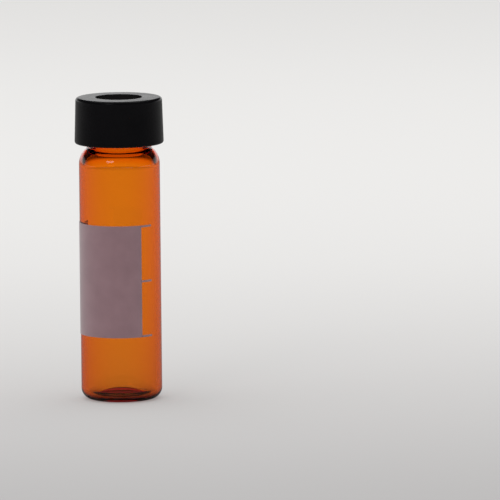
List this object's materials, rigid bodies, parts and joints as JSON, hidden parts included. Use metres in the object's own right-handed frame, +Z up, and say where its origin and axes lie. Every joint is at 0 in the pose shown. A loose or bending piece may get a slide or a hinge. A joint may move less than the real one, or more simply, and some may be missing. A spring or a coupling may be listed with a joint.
{
  "type": "glass sample vial",
  "caption": "Amber glass sample vial with a round shoulder and screw neck, a grey writing patch with filling marks, and a black open-top screw cap that presses a septum onto the rim.",
  "frame": {"origin": "centre of the base, on the plane that the vial stands on", "axes": "+Z up along the vial's axis, out of its mouth; -Y towards the middle of the writing patch; +X towards the side where the filling marks run on from the patch"},
  "size_m": [0.0182, 0.0182, 0.0624],
  "materials": {
    "amber_glass": "clear amber glass, smooth and shiny inside and out",
    "patch_enamel": "thin fired enamel, matt and slightly rough so that it takes a pencil",
    "septum_silicone": "smooth off-white silicone",
    "cap_plastic": "moulded black plastic, satin, smooth sides"
  },
  "bodies": {
    "vial": {"glass_vial": "amber_glass", "writing_patch": "patch_enamel"},
    "septum": {"septum": "septum_silicone"},
    "cap": {"screw_cap": "cap_plastic"}
  },
  "joints": [
    {"name": "cap_rise", "type": "slide", "parent": "vial", "child": "septum", "axis": [0, 0, 1], "range_m": [0, 0.00726]},
    {"name": "cap_turn", "type": "hinge", "parent": "septum", "child": "cap", "pos_m": [0, 0, 0.0575], "axis": [0, 0, 1], "range_deg": [0, 1440]}
  ],
  "couplings": [
    {"joint": "cap_rise", "follows": "cap_turn", "m_per_rad": 0.00028871}
  ]
}
